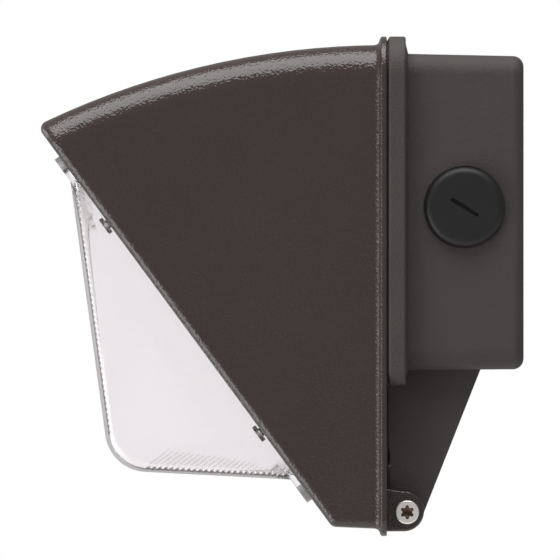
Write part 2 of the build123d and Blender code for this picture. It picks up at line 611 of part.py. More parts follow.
def driver_block(inset, d_low, d_high):
    """A block over the driver's plan, smaller by an inset, between two depths."""
    return face_box((inset - DRIVER_HALF_X, DRIVER_HALF_X - inset),
                    (DRIVER_V_SPAN[0] + inset, DRIVER_V_SPAN[1] - inset), (d_low, d_high))


def round_driver_corners(block):
    """Rounds the four edges that run out of the diagonal face."""
    out = Vector(0, *OUT)
    corners = block.edges().filter_by(lambda edge: abs(edge.tangent_at(0).dot(out)) > 0.99)
    return fillet(corners, DRIVER_CORNER)


def driver_case():
    """A sheet case open to the rear, with a foot at each end."""
    case = round_driver_corners(driver_block(0, DRIVER_BACK, DRIVER_TOP))
    case -= driver_block(DRIVER_SHEET, DRIVER_BACK, DRIVER_TOP)
    case += face_box((-DRIVER_FOOT_X, DRIVER_FOOT_X), DRIVER_V_SPAN, (DRIVER_TOP, DRIVER_POST_END))
    for x, v in driver_post_places():
        case -= rod_face(M3_CLEAR, x, v, DRIVER_TOP - 1, DRIVER_POST_END + 1)
    return case


def driver_potting():
    return driver_block(DRIVER_SHEET + 0.05, DRIVER_BACK + 1.5, DRIVER_TOP)


def driver_lid():
    return round_driver_corners(driver_block(0, DRIVER_BACK - DRIVER_LID, DRIVER_BACK))


def driver_screws():
    screw = m3_screw(6.5)
    return group([FACE * Pos(x, v, DRIVER_TOP) * Rot(180, 0, 0) * screw for x, v in driver_post_places()])


# ---------------------------------------------------------------- leads
def lead(radius, points, bend):
    """A round lead along straight runs and tangent bends."""
    path = FilletPolyline(*points, radius=bend)
    start = Plane(origin=points[0], z_dir=Vector(*points[1]) - Vector(*points[0]))
    piece = sweep(start * Circle(radius), path=path)
    print(f"lead: bend {bend}, length {path.length:.1f}, volume ratio "
          f"{piece.volume / (path.length * pi * radius ** 2):.4f}")
    return piece


def board_lead(offset):
    v = DRIVER_V + offset
    points = [(CONNECTOR_X[1], *face_yz(v, BOARD_LEAD_D)), (GROMMET_X, *face_yz(v, BOARD_LEAD_D)),
              (GROMMET_X, *face_yz(v, BOARD_LEAD_LOW_D)), (DRIVER_HALF_X, *face_yz(v, BOARD_LEAD_LOW_D))]
    return lead(BOARD_LEAD_RADIUS, points, BOARD_LEAD_BEND)


def supply_lead(z):
    points = [(-DRIVER_HALF_X, SUPPLY_LEAD_Y, z), (SUPPLY_X, SUPPLY_LEAD_Y, z), (SUPPLY_X, BLOCK_ENTRY_Y, z),
              (BLOCK_X[0], BLOCK_ENTRY_Y, z)]
    return lead(SUPPLY_LEAD_RADIUS, points, SUPPLY_LEAD_BEND)


def ground_lead():
    z = BLOCK_POLES[2]
    points = [(BLOCK_X[0], BLOCK_ENTRY_Y, z), (GROUND_X, BLOCK_ENTRY_Y, z),
              (GROUND_X, CRIMP_Y, z - 14), (GROUND_X, CRIMP_Y, CRIMP_Z[1])]
    return lead(SUPPLY_LEAD_RADIUS, points, GROUND_LEAD_BEND)


# ---------------------------------------------------------------- back cover and splice parts
def back_cover():
    """The plate that closes the driver compartment, with pulled collars for its small screws."""
    plate = slab(outline(COVER_HALF_WIDTH, COVER_TOP, COVER_BOTTOM, COVER_CORNER, COVER_LOW_CORNER),
                 COVER_FRONT, RIM_BACK)
    collars = [(GROUND_X, GROUND_Z, M4_TAPPED)] + [(x, z, M3_SHANK) for x, z in block_screw_places()]
    for x, z, bore in collars:
        plate += rod_y(bore + 1.4, x, z, COVER_FRONT - COVER_COLLAR, RIM_BACK)
    holes = [(side * x, z, M3_CLEAR) for side in (-1, 1) for x, z in COVER_SCREWS]
    holes += [(side * SCREW_X, SCREW_Z, 3.2) for side in (-1, 1)]
    holes += [(SUPPLY_X, SUPPLY_Z, SUPPLY_RADIUS)] + collars
    for x, z, radius in holes:
        plate -= rod_y(radius, x, z, COVER_FRONT - 4, RIM_BACK + 1)
    return plate


def cover_gasket():
    outer = outline(COVER_HALF_WIDTH, COVER_TOP, COVER_BOTTOM, COVER_CORNER, COVER_LOW_CORNER)
    inner = outline(COVER_HALF_WIDTH - COVER_LAND, COVER_TOP - COVER_LAND, COVER_BOTTOM + COVER_LAND,
                    RIM_TOP_RADIUS - 5, 2)
    ring = slab(outer - inner, COVER_SEAT, COVER_FRONT)
    for side in (-1, 1):
        ring -= rod_y(CLIP_RADIUS + CLIP_CLEARANCE, side * SCREW_X, SCREW_Z, COVER_SEAT - 1, COVER_FRONT + 1)
    return ring


def facing_wall(piece, x, y, z):
    """Turns a piece built along +z to stand along +Y at a place."""
    return Pos(x, y, z) * Rot(-90, 0, 0) * piece


def cover_screws():
    screw = m3_screw(7.5)
    return group([facing_wall(screw, side * x, RIM_BACK, z) for side in (-1, 1) for x, z in COVER_SCREWS])


def supply_grommet():
    slot = extrude(SlotCenterToCenter(SUPPLY_PITCH, 2 * SUPPLY_LEAD_RADIUS + 0.5), amount=10, both=True)
    return facing_wall(flanged_grommet(SUPPLY_RADIUS, SUPPLY_FLANGE, Rot(0, 0, 90) * slot,
                                       RIM_BACK - COVER_FRONT), SUPPLY_X, COVER_FRONT, SUPPLY_Z)


def block_screw_places():
    return [(BLOCK_MIDDLE, BLOCK_Z[0] + BLOCK_POLE_MARGIN), (BLOCK_MIDDLE, BLOCK_Z[1] - BLOCK_POLE_MARGIN)]


def terminal_screw_places():
    columns = (BLOCK_MIDDLE - BLOCK_SCREW_SPREAD, BLOCK_MIDDLE + BLOCK_SCREW_SPREAD)
    return [(x, z) for x in columns for z in BLOCK_POLES]


def terminal_block():
    """Three-pole block: side entries at the driver end and the supply end, screws on top."""
    ears = span_box(BLOCK_X, (RIM_BACK, RIM_BACK + BLOCK_EAR), BLOCK_Z)
    block = ears + span_box(BLOCK_X, (RIM_BACK, BLOCK_TOP),
                            (BLOCK_POLES[2] - BLOCK_POLE_MARGIN, BLOCK_POLES[0] + BLOCK_POLE_MARGIN))
    for z in BLOCK_POLES:
        block -= rod_x(1.5, BLOCK_X[1] - 6, BLOCK_X[1] + 1, BLOCK_ENTRY_Y, z)
    for x, z in terminal_screw_places():
        block -= rod_y(BLOCK_WELL_RADIUS, x, z, BLOCK_TOP - BLOCK_WELL_DEPTH, BLOCK_TOP + 1)
    for x, z in block_screw_places():
        block -= rod_y(M3_CLEAR, x, z, RIM_BACK - 1, RIM_BACK + BLOCK_EAR + 1)
    return block


def terminal_screws():
    """Slotted clamping screws at the bottom of the block's wells."""
    screw = rod_y(BLOCK_WELL_RADIUS - 0.2, 0, 0, 0, 2) - span_box((-0.3, 0.3), (1.4, 3), (-2, 2))
    return group([Pos(x, BLOCK_TOP - BLOCK_WELL_DEPTH, z) * screw for x, z in terminal_screw_places()])


def block_screws():
    screw = m3_screw(8.0)
    return group([facing_wall(screw, x, RIM_BACK + BLOCK_EAR, z) for x, z in block_screw_places()])


def ground_ring():
    """Ring terminal crimped on the ground lead."""
    low, high = RIM_BACK, RIM_BACK + RING_THICK
    ring = rod_y(RING_RADIUS, GROUND_X, GROUND_Z, low, high)
    ring += span_box((GROUND_X - 1.7, GROUND_X + 1.7), (low, high), (GROUND_Z, CRIMP_Z[1]))
    ring -= rod_y(RING_BORE, GROUND_X, GROUND_Z, low - 1, high + 1)
    barrel = Cylinder(CRIMP_RADIUS, CRIMP_Z[1] - CRIMP_Z[0], align=STANDING)
    return ring + Pos(GROUND_X, CRIMP_Y, CRIMP_Z[0]) * barrel


def hex_washer_screw(shank_length):
    """Slotted hexagon head with a washer face, along z with its seat at z = 0."""
    washer = Cylinder(4.4, 0.9, align=STANDING)
    head = washer + extrude(RegularPolygon(3.5, 6, major_radius=False), amount=3.4)
    head -= Pos(0, 0, 2.2) * Box(9, 0.9, 3, align=STANDING)
    return head + Cylinder(M4_SHANK, shank_length, align=HANGING)


def cover_ground_screw():
    return facing_wall(hex_washer_screw(5.5), GROUND_X, RIM_BACK + RING_THICK, GROUND_Z)


# ---------------------------------------------------------------- closing screws
def closing_screw(side):
    """Socket head screw along Y, its head in the hood's trough."""
    head = Cylinder(SCREW_HEAD_RADIUS, SCREW_HEAD_HEIGHT, align=STANDING)
    head = fillet(head.edges().sort_by(Axis.Z)[-1], 0.6)
    socket = extrude(RegularPolygon(SCREW_HEX, 6, major_radius=False), amount=SCREW_HEAD_HEIGHT)
    head -= Pos(0, 0, SCREW_HEX_FLOOR) * socket
    length = SCREW_TIP_Y - SCREW_SEAT_Y
    shank = Cylinder(SCREW_SHANK_RADIUS, length, align=HANGING)
    shank = chamfer(shank.edges().sort_by(Axis.Z)[0], 0.6)
    return Pos(side * SCREW_X, SCREW_SEAT_Y, SCREW_Z) * Rot(90, 0, 0) * (head + shank)


def ring_y(inner, outer, x, z, y_low, y_high):
    return rod_y(outer, x, z, y_low, y_high) - rod_y(inner, x, z, y_low - 1, y_high + 1)


def closing_seal(side):
    return ring_y(SCREW_SHANK_RADIUS + 0.05, SCREW_HEAD_RADIUS - 0.15, side * SCREW_X, SCREW_Z,
                  SCREW_SEAT_Y, SCREW_SEAT_Y + SEAL_SINK)


def closing_clip(side):
    """The ring that keeps a loosened screw in the hood."""
    return ring_y(SCREW_SHANK_RADIUS, CLIP_RADIUS, side * SCREW_X, SCREW_Z,
                  CLIP_FRONT, CLIP_FRONT + CLIP_THICK)


# ---------------------------------------------------------------- rear box
def rear_rim():
    """The box's rim: rounded at both edges, its back sloping in to the box."""
    edge = outline(RIM_HALF_WIDTH, RIM_TOP, REAR_RIM_BOTTOM, RIM_TOP_RADIUS, RIM_LOW_RADIUS)
    rim = slab(edge, REAR_RIM_FRONT, REAR_RIM_BACK)
    rim = fillet(faces_at(rim, REAR_RIM_BACK)[0].edges(), REAR_RIM_ROUND)
    rim = fillet(faces_at(rim, REAR_RIM_FRONT)[0].edges(), REAR_RIM_BREAK)
    # The slope starts inside the rim's flat back and ends inside the box's walls, so that it crosses both
    less = REAR_RIM_ROUND + RIM_SLOPE_SINK
    start = outline(RIM_HALF_WIDTH - less, RIM_TOP - less, REAR_RIM_BOTTOM + less,
                    RIM_TOP_RADIUS - less, RIM_LOW_RADIUS - less)
    end = outline(BOX_HALF_WIDTH - RIM_SLOPE_SINK, BOX_TOP - RIM_SLOPE_SINK, BOX_BOTTOM + RIM_SLOPE_SINK,
                  BOX_CORNER, BOX_CORNER)
    return rim + loft([at_y(REAR_RIM_BACK - RIM_SLOPE_SINK) * start, at_y(REAR_RIM_ROOT) * end])


def box_form(inset, back):
    """The box's drafted form from the rim to a depth, or its inside when inset."""
    shrink = tan(radians(BOX_DRAFT)) * (back - REAR_RIM_BACK)
    corner = BOX_CORNER - inset / 2
    sections = []
    for y, less in ((REAR_RIM_FRONT, 0.0), (REAR_RIM_BACK, 0.0), (back, shrink)):
        sheet = outline(BOX_HALF_WIDTH - inset - less, BOX_TOP - inset - less,
                        BOX_BOTTOM + inset + less * 0.3, corner, corner)
        sections.append(at_y(y) * sheet)
    return loft(sections[:2]) + loft(sections[1:])


def gusset():
    """One hinge web below the box, ending in a rounded bearing."""
    top = BOX_BOTTOM + WALL
    corners = ((REAR_RIM_FRONT, top), (GUSSET_TOP_BACK, top))
    angles = []
    for (y, z), turn in zip(corners, (1, -1)):
        rise, run = z - HINGE_Z, y - HINGE_Y
        angles.append(atan2(rise, run) + turn * acos(GUSSET_END_RADIUS / hypot(run, rise)))
    front, back = angles[0], angles[1] + 2 * pi
    front_end, low_end, back_end = [(HINGE_Y + GUSSET_END_RADIUS * cos(angle),
                                     HINGE_Z + GUSSET_END_RADIUS * sin(angle))
                                    for angle in (front, (front + back) / 2, back)]
    web = make_face(Polyline(back_end, corners[1], corners[0], front_end)
                    + ThreePointArc(front_end, low_end, back_end))
    piece = extrude(Plane.YZ.offset(GUSSET_INNER) * web, amount=GUSSET_OUTER - GUSSET_INNER)
    return piece + rod_x(GUSSET_END_RADIUS, GUSSET_INNER - GUSSET_BOSS, GUSSET_OUTER, HINGE_Y, HINGE_Z)


def outward(radius, side, start, y, z):
    """A round cut along X from a distance out of the middle plane to beyond the box's side."""
    return rod_x(radius, *sorted((side * start, side * 110.0)), y, z)


def gasket_form(inset, corner_inset):
    return outline(RIM_HALF_WIDTH - inset, RIM_TOP - inset, REAR_RIM_BOTTOM + inset,
                   RIM_TOP_RADIUS - corner_inset, RIM_LOW_RADIUS - corner_inset)


def gasket_ring(slack):
    """The gasket groove's outline, or the gasket's, which is smaller all round by a slack."""
    outer, inner = GASKET_INSET + slack, GASKET_INSET + GASKET_WIDTH - slack
    return gasket_form(outer, outer) - gasket_form(inner, inner)


def rear_box_holes(side):
    """The holes on one side: closing screw, conduit entry, hinge screw and wall screws."""
    holes = [
        rod_y(SCREW_SHANK_RADIUS + SCREW_BORE_GAP, side * SCREW_X, SCREW_Z, REAR_RIM_FRONT - 1,
              REAR_RIM_FRONT + BOX_SCREW_DEPTH),
        outward(ENTRY_RADIUS, side, ENTRY_HUB_INNER - 8, ENTRY_Y, ENTRY_Z),
        outward(PLUG_HEAD_RADIUS + 0.4, side, PLUG_SEAT, ENTRY_Y, ENTRY_Z),
        outward(PLUG_SEAL_RADIUS + 0.2, side, PLUG_SEAT - PLUG_SEAL_THICK, ENTRY_Y, ENTRY_Z),
        rod_x(BOLT_BORE, *sorted((side * (GUSSET_INNER - 6), side * (GUSSET_OUTER + 1))), HINGE_Y, HINGE_Z),
    ]
    places = [(JUNCTION_SPACING / 2, WIRE_ENTRY_Z)]
    places += [(ANCHOR_X / 2, level * ANCHOR_Z / 2) for level in (-1, 1)]
    return holes + [rod_y(MOUNT_HOLE_RADIUS, side * x, z, -5, 1) for x, z in places]


def rear_box():
    shell = box_form(0, 0)
    shell = fillet(shell.faces().sort_by(Axis.Y)[-1].outer_wire().edges(), BACK_EDGE_RADIUS)
    body = rear_rim() + shell
    cavity = box_form(WALL, -BACK_WALL)
    for side in (-1, 1):
        cavity -= outward(ENTRY_HUB_RADIUS, side, ENTRY_HUB_INNER, ENTRY_Y, ENTRY_Z)
        cavity -= rod_y(BOX_SCREW_BOSS, side * SCREW_X, SCREW_Z, REAR_RIM_FRONT - 1, REAR_RIM_BACK)
    body -= cavity - rod_y(BOX_GROUND_BOSS, BOX_GROUND_X, BOX_GROUND_Z, BOX_GROUND_Y, 0)

    for piece in mirrored(gusset()):
        body += piece
    body -= slab(gasket_ring(0.0), REAR_RIM_FRONT, REAR_RIM_FRONT + GASKET_DEPTH)
    for hole in rear_box_holes(-1) + rear_box_holes(1):
        body -= hole
    body -= rod_y(WIRE_ENTRY_RADIUS, 0, WIRE_ENTRY_Z, -5, 1)
    return body - rod_y(M4_TAPPED, BOX_GROUND_X, BOX_GROUND_Z, BOX_GROUND_Y - 1, -BACK_WALL - 0.5)


def box_gasket():
    return slab(gasket_ring(GASKET_SLACK), RIM_BACK, REAR_RIM_FRONT + GASKET_DEPTH)


def box_ground_screw():
    return facing_room(hex_washer_screw(7.0), BOX_GROUND_X, BOX_GROUND_Y, BOX_GROUND_Z)


def facing_room(piece, x, y, z):
    """Turns a piece built along +z to stand along -Y at a place."""
    return Pos(x, y, z) * Rot(90, 0, 0) * piece


# ---------------------------------------------------------------- hinge hardware
def hinge_washers():
    end = GUSSET_OUTER + WASHER_THICK
    washer = rod_x(WASHER_RADIUS, GUSSET_OUTER, end, HINGE_Y, HINGE_Z)
    washer -= rod_x(EAR_BORE + 0.05, GUSSET_OUTER - 1, end + 1, HINGE_Y, HINGE_Z)
    return group(mirrored(washer))


def hinge_bolts():
    """Shoulder screws: head outside the ear, shoulder in its bore, thread in the gusset."""
    head = Cylinder(BOLT_HEAD_RADIUS, BOLT_HEAD_HEIGHT, align=STANDING)
    head = fillet(head.edges().sort_by(Axis.Z)[-1], BOLT_HEAD_ROUND)
    lobes = Circle(LOBE_ROOT)
    for index in range(6):
        lobes += Rot(0, 0, 60 * index) * Pos(LOBE_CIRCLE, 0) * Circle(LOBE_RADIUS)
    floor = BOLT_HEAD_HEIGHT - LOBE_DEPTH
    head -= Pos(0, 0, floor) * extrude(lobes, amount=LOBE_DEPTH + 1)
    head -= Pos(0, 0, floor) * Rot(180, 0, 0) * Cone(LOBE_ROOT, 0, LOBE_POINT, align=STANDING)
    seat = EAR_OUTER + 0.1
    shoulder = Cylinder(SHOULDER_RADIUS, seat - GUSSET_OUTER, align=HANGING)
    thread = Cylinder(BOLT_THREAD_RADIUS, seat - GUSSET_INNER + BOLT_END_GAP, align=HANGING)
    bolt = Pos(seat, HINGE_Y, HINGE_Z) * Rot(0, 90, 0) * (head + shoulder + thread)
    return group(mirrored(bolt))


# ---------------------------------------------------------------- conduit plugs
def conduit_plug():
    """The right-hand plug: domed head, screwdriver slot, hollow plain-modelled thread."""
    head = Cylinder(PLUG_HEAD_RADIUS, PLUG_HEAD_HEIGHT, align=STANDING)
    head = fillet(head.edges().sort_by(Axis.Z)[-1], PLUG_DOME)
    slot = extrude(SlotOverall(SLOT_LENGTH, SLOT_WIDTH), amount=SLOT_DEPTH + 1)
    head -= Pos(0, 0, PLUG_HEAD_HEIGHT - SLOT_DEPTH) * slot
    shank = Cylinder(ENTRY_RADIUS - 0.08, PLUG_SHANK, align=HANGING)
    shank -= Pos(0, 0, -PLUG_FLOOR) * Cylinder(ENTRY_RADIUS - PLUG_WALL, PLUG_SHANK, align=HANGING)
    # The face's own x is +Y, so the slot's angle reads as it does in a view of that side
    seat = Plane(origin=(PLUG_SEAT, ENTRY_Y, ENTRY_Z), x_dir=(0, 1, 0), z_dir=(1, 0, 0))
    return seat * Rot(0, 0, SLOT_ANGLE) * (head + shank)


def plug_seal():
    ring = rod_x(PLUG_SEAL_RADIUS, PLUG_SEAT - PLUG_SEAL_THICK, PLUG_SEAT, ENTRY_Y, ENTRY_Z)
    return ring - rod_x(ENTRY_RADIUS + 0.1, PLUG_SEAT - 3, PLUG_SEAT + 1, ENTRY_Y, ENTRY_Z)


# ---------------------------------------------------------------- one file for each piece
PLAIN_NODES = [
    rear_box, box_gasket, box_ground_screw, hinge_washers, hinge_bolts,
    front_housing, lens, lens_gasket, lens_screws,
    thermal_pad, led_board, led_chips, board_screws, board_connector, reflector, reflector_screws,
    lead_grommet, driver_case, driver_potting, driver_lid, driver_screws,
    back_cover, cover_gasket, cover_screws, supply_grommet,
    terminal_block, terminal_screws, block_screws, ground_lead, ground_ring, cover_ground_screw,
]
for make in PLAIN_NODES:
    write(make.__name__, make())

for name, offset in zip(("board_lead_red", "board_lead_black"), board_lead_offsets()):
    write(name, board_lead(offset))
for name, z in zip(("supply_lead_black", "supply_lead_white"), BLOCK_POLES):
    write(name, supply_lead(z))
for hand, side in (("right", 1), ("left", -1)):
    write(f"closing_screw_{hand}", closing_screw(side))
    write(f"closing_seal_{hand}", closing_seal(side))
    write(f"closing_clip_{hand}", closing_clip(side))
for hand, plug, seal in zip(("right", "left"), mirrored(conduit_plug()), mirrored(plug_seal())):
    write(f"conduit_plug_{hand}", plug)
    write(f"plug_seal_{hand}", seal)
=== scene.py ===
import json
from math import acos, cos, pi, radians, sin, tan

import bmesh
import bpy
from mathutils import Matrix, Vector


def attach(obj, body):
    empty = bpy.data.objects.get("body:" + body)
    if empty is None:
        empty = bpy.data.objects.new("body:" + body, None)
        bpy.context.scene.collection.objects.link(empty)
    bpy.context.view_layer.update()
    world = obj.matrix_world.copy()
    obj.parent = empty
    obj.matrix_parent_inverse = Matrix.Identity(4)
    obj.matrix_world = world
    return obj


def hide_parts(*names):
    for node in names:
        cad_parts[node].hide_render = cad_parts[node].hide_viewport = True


# A cut-off wall pack light, seen square on from its right side. The scene is in metres. The light's sizes
# below are in millimetres, and mm() and face_point() turn them into metres.
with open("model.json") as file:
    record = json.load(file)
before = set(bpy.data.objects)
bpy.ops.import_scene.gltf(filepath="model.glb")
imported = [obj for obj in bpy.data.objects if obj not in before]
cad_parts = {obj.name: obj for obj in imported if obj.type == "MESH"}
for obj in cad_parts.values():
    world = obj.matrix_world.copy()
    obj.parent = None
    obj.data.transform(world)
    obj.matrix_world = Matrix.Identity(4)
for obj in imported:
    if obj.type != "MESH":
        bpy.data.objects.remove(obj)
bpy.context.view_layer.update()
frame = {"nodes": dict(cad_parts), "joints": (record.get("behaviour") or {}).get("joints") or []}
nodes = frame["nodes"]
hinge = next(joint for joint in frame["joints"] if joint["name"] == "door_hinge")

# ---------------------------------------------------------------- the light's own sizes, in mm
# The diagonal face carries the lens. On it, v runs up the slope from its middle and d stands out of it.
FACE_POINT = (-123.2, -41.8)                    # (Y, Z) of the face's middle
FACE_TILT = radians(36.4)                       # from upright
UP = (-sin(FACE_TILT), cos(FACE_TILT))
OUT = (-cos(FACE_TILT), -sin(FACE_TILT))

FLANGE_HALF_X, FLANGE_THICK = 98.0, 2.1
FLANGE_LOW, FLANGE_HIGH = -77.8, 77.5           # its ends, as v
FLANGE_CORNER, FLANGE_CORNER_STEPS = 7.0, 6

BOWL_LOW_V, BOWL_TOP_V = -69.1, 71.6            # where the bowl's floor and front start on the face
BOWL_FLOOR_RISE = radians(3.0)                  # the floor's, from level, towards the front
BOWL_FRONT_TILT = radians(7.8)                  # the front's, from upright
BOWL_HALF_WIDTH, BOWL_DRAFT = 89.5, radians(2.0)
BOWL_CORNER, BOWL_CORNER_STEPS = 15.3, 12       # the round between floor and front
BOWL_WALL = 1.4
BOWL_SIDE_ROUND, BOWL_INNER_ROUND = 5.0, 1.6    # the round between crown and side, outside and inside
ROUND_SHARE = 0.9                               # the most of the wall's height that such a round takes

SKIN_FLOOR_PITCH, SKIN_FRONT_PITCH = 12.0, 14.0     # the smooth outside's, in the mesh only
RIB_PITCH, FLOOR_RIB, FRONT_RIB = 2.1, 0.5, 0.4     # the moulded ribs' spacing and heights
CROWN_STEPS, ROUND_STEPS, SIDE_STEPS = 6, 6, 2      # faces in half a row across the bowl
ROUND_FACING = (0.03, 0.62)                     # how far the bowl's rounds face sideways, least and most
EDGE_FACING = 0.5                               # a face that faces out less than this is an edge's
WELD, SLIVER = 0.002, 0.001                     # points and edges this close or short are merged

LENS_SCREW_X, LENS_SCREW_V = 94.0, 47.0
LENS_HOLE_RADIUS, LENS_HOLE_ENDS = 1.7, (-1.0, 4.0)     # the ends are past both faces of the flange
HOLE_SEGMENTS = 32
LENS_SEAT, LENS_SEAT_RADIUS = 0.6, 3.3          # the sunk seats of the screws' heads: height and radius

BOLT_FACE_X = 101.6                             # of the hinge bolts' heads, from the middle
BOLT_RECESS_LIP, BOLT_RECESS_REACH = 0.1, 2.9   # where the painted shade in the sunk socket starts below it, and its radius

GUSSET_X, GUSSET_FRONT = (84.0, 90.0), -49.2    # each gusset's sides and its front edge's Y
STRIP_Z, STRIP_THICK = (-103.0, -63.5), 0.5     # the dark strips' ends and thickness
STRIP_INSET, STRIP_ROUND = 0.3, 0.15            # from the gusset's sides, and its own edges' round

# ---------------------------------------------------------------- camera and light
PIXEL_MM = 0.3638                               # a pixel's size at the light's near side
PICTURE = 560                                   # pixels, each way
NEAR_SIDE_X, CAMERA_X = 104.0, 8000.0           # mm
CENTRE_Y, CENTRE_Z = -88.7, -24.5               # mm: what the picture's middle looks at
FILL = 0.28                                     # the world's strength where it isn't seen
GLOSS_SHARE = 0.1                               # how far gloss sees it lifted from that fill to white
FLOOR_Z, FLOOR_HALF = -0.9, 4.0                 # metres
FLOOR_GLOW = 0.5                                # how far the floor is lifted where it is seen


# ---------------------------------------------------------------- helpers
def mm(*values):
    """Millimetres to metres: one number, or a vector of three."""
    scaled = [value * 0.001 for value in values]
    return scaled[0] if len(scaled) == 1 else Vector(scaled)


def face_point(x, v, d):
    """The frame's point at x across, v up the diagonal face and d out of it."""
    return mm(x, FACE_POINT[0] + v * UP[0] + d * OUT[0], FACE_POINT[1] + v * UP[1] + d * OUT[1])


def add(tree, kind, inputs=None, **settings):
    """Adds a node with its settings, and sets each input or links it to a socket."""
    made = tree.nodes.new(kind)
    for name, value in settings.items():
        setattr(made, name, value)
    for name, value in (inputs or {}).items():
        if isinstance(value, bpy.types.NodeSocket):
            tree.links.new(value, made.inputs[name])
        else:
            made.inputs[name].default_value = value
    return made


def colour(hex_value):
    """An sRGB hex value as linear RGBA."""
    channels = [int(hex_value[start:start + 2], 16) / 255 for start in (1, 3, 5)]
    return tuple(c / 12.92 if c <= 0.04045 else ((c + 0.055) / 1.055) ** 2.4 for c in channels) + (1.0,)


def per_metre(size_mm):
    """Texture scale at which a pattern repeats about every size_mm."""
    return 1000.0 / size_mm


def material(name, build):
    """A material whose surface is the shader that build(tree) makes."""
    made = bpy.data.materials.new(name)
    made.use_nodes = True
    made.node_tree.nodes.clear()
    shader = build(made.node_tree)
    add(made.node_tree, "ShaderNodeOutputMaterial", {"Surface": shader.outputs[0]})
    return made


def clouded(tree, low, high, size_mm, detail):
    """A colour that drifts between two near tones, in clouds of a size."""
    place = add(tree, "ShaderNodeTexCoord").outputs["Object"]
    cloud = add(tree, "ShaderNodeTexNoise", {"Vector": place, "Scale": per_metre(size_mm), "Detail": detail})
    tint = add(tree, "ShaderNodeMix", {"Factor": cloud.outputs["Fac"], "A": colour(low), "B": colour(high)},
               data_type="RGBA")
    return tint.outputs["Result"]


def uneven(tree, size_mm, depth_mm, strength, detail=2.0, roughness=0.5):
    """The normal of a skin with bumps of a size and depth."""
    place = add(tree, "ShaderNodeTexCoord").outputs["Object"]
    relief = add(tree, "ShaderNodeTexNoise", {"Vector": place, "Scale": per_metre(size_mm), "Detail": detail,
                                              "Roughness": roughness})
    bump = add(tree, "ShaderNodeBump", {"Height": relief.outputs["Fac"], "Strength": strength,
                                        "Distance": mm(depth_mm)})
    return bump.outputs[0]


def mesh_object(name, built, finish, smooth_angle=radians(35)):
    """Makes an object of a bmesh, smooth but for edges sharper than an angle."""
    bmesh.ops.recalc_face_normals(built, faces=built.faces)
    data = bpy.data.meshes.new(name)
    built.to_mesh(data)
    built.free()
    data.polygons.foreach_set("use_smooth", [True] * len(data.polygons))
    data.set_sharp_from_angle(angle=smooth_angle)
    data.materials.append(finish)
    made = bpy.data.objects.new(name, data)
    bpy.context.scene.collection.objects.link(made)
    return made


# ---------------------------------------------------------------- studio
def set_camera():
    """A far camera on the light's right, which looks along -X and sees the near side at the photo's scale."""
    data = bpy.data.cameras.new("camera")
    camera = bpy.data.objects.new("camera", data)
    bpy.context.scene.collection.objects.link(camera)
    camera.location = mm(CAMERA_X, CENTRE_Y, CENTRE_Z)
    camera.rotation_euler = (pi / 2, 0, pi / 2)
    data.lens = data.sensor_width * (CAMERA_X - NEAR_SIDE_X) / (PICTURE * PIXEL_MM)
    bpy.context.scene.camera = camera


def softbox(name, place, target, size, radiance):
    """A rectangular lamp of an even radiance, aimed at a point, in metres."""
    data = bpy.data.lights.new(name, "AREA")
    data.shape = "RECTANGLE"
    data.size, data.size_y = size
    data.energy = radiance * pi * size[0] * size[1]
    lamp = bpy.data.objects.new(name, data)
    bpy.context.scene.collection.objects.link(lamp)
    lamp.location = place
    lamp.rotation_euler = (Vector(place) - Vector(target)).to_track_quat("Z", "X").to_euler()
    lamp.visible_camera = False


def set_lights():
    """The one overhead draws the bright band along the hood, the other two light the lens and its edges."""
    middle = mm(0, CENTRE_Y, CENTRE_Z)
    softbox("overhead_softbox", (0.58, -0.30, 1.25), target=(0.58, -0.30, 0.0), size=(1.36, 1.6),
            radiance=4.4)
    softbox("low_softbox", (0.6, -1.14, -0.64), target=middle, size=(1.1, 1.1), radiance=3.1)
    softbox("front_softbox", (-0.35, -1.5, 0.1), target=middle, size=(0.5, 1.5), radiance=2.5)


def set_world():
    """White to the eye and through glass, a dimmer room in gloss, and a soft even fill on the rest."""
    world = bpy.data.worlds.new("studio")
    bpy.context.scene.world = world
    world.use_nodes = True
    tree = world.node_tree
    tree.nodes.clear()
    path = add(tree, "ShaderNodeLightPath")
    gloss = add(tree, "ShaderNodeMath", {0: path.outputs["Is Glossy Ray"], 1: GLOSS_SHARE},
                operation="MULTIPLY")
    seen = add(tree, "ShaderNodeMath", {0: path.outputs["Is Camera Ray"], 1: gloss.outputs[0]},
               operation="MAXIMUM")
    seen = add(tree, "ShaderNodeMath", {0: seen.outputs[0], 1: path.outputs["Is Transmission Ray"]},
               operation="MAXIMUM")
    strength = add(tree, "ShaderNodeMapRange", {"Value": seen.outputs[0], "To Min": FILL, "To Max": 1.0})
    back = add(tree, "ShaderNodeBackground", {"Color": (1, 1, 1, 1), "Strength": strength.outputs[0]})
    add(tree, "ShaderNodeOutputWorld", {"Surface": back.outputs[0]})


